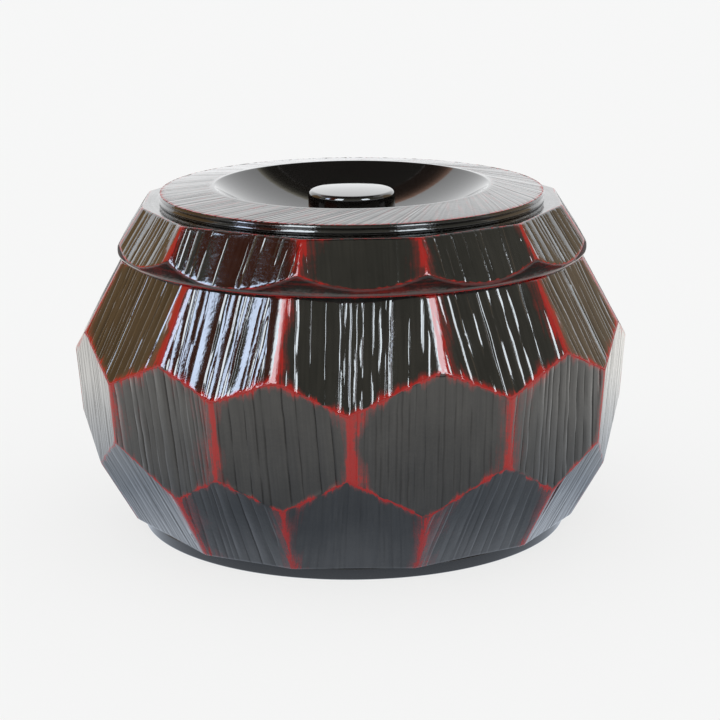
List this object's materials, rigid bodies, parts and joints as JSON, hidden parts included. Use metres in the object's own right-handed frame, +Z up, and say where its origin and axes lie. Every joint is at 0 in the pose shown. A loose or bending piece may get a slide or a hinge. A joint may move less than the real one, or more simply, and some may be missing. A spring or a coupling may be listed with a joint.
{
  "type": "rice tub",
  "caption": "Round lidded rice tub with tortoise-shell facets, a plain foot ring and a lift-off lid whose sunk dish holds a low finger knob.",
  "frame": {"origin": "middle of the foot ring's underside, on the axis of turning", "axes": "+Z up along the axis of turning, -Y towards the front as pictured, +X to the right"},
  "size_m": [0.1762, 0.1746, 0.1075],
  "materials": {
    "faceted_lacquer": "carved wood under black lacquer, rubbed through to red along the edges",
    "lid_lacquer": "carved wood under black lacquer, rubbed through to red along the edges, with a smooth black dish",
    "plain_lacquer": "smooth turned wood under gloss black lacquer"
  },
  "bodies": {
    "tub": {"tub_body": "faceted_lacquer", "foot_ring": "plain_lacquer"},
    "lid": {"lid_body": "lid_lacquer", "lid_knob": "plain_lacquer"}
  },
  "joints": [
    {"name": "lid_lift", "type": "slide", "parent": "tub", "child": "lid", "axis": [0, 0, 1], "range_m": [0, 0.08]}
  ]
}
